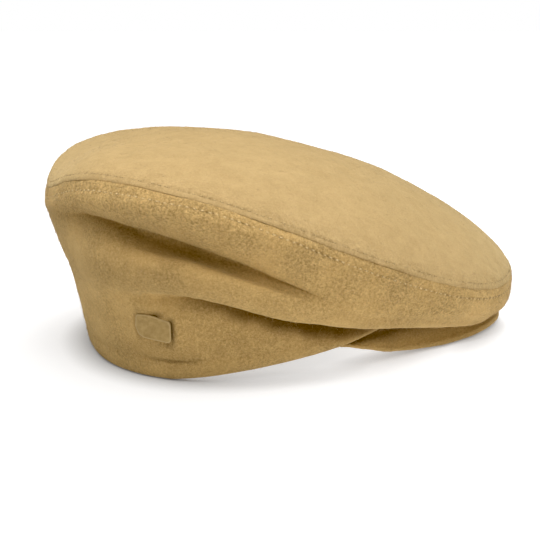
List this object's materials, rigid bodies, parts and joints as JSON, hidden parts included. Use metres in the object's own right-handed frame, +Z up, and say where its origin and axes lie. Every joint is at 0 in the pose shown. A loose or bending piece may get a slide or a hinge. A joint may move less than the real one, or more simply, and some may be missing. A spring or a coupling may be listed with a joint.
{
  "type": "flat cap",
  "caption": "Soft felted-wool flat cap: domed oval top panel sewn to a folded side panel, cloth-covered stiff peak at the front, small plain leather badge on the right.",
  "frame": {"origin": "on the surface that the cap rests on, under the middle of its outline", "axes": "+X forward over the peak, +Y to the wearer's left, +Z up"},
  "size_m": [0.2798, 0.2238, 0.124],
  "materials": {
    "wool_top": "matte",
    "wool_side": "matte",
    "wool_peak": "matte",
    "badge_leather": "satin"
  },
  "bodies": {
    "root": {"crown_top": "wool_top", "side_panel": "wool_side", "peak": "wool_peak", "badge": "badge_leather"}
  },
  "joints": []
}
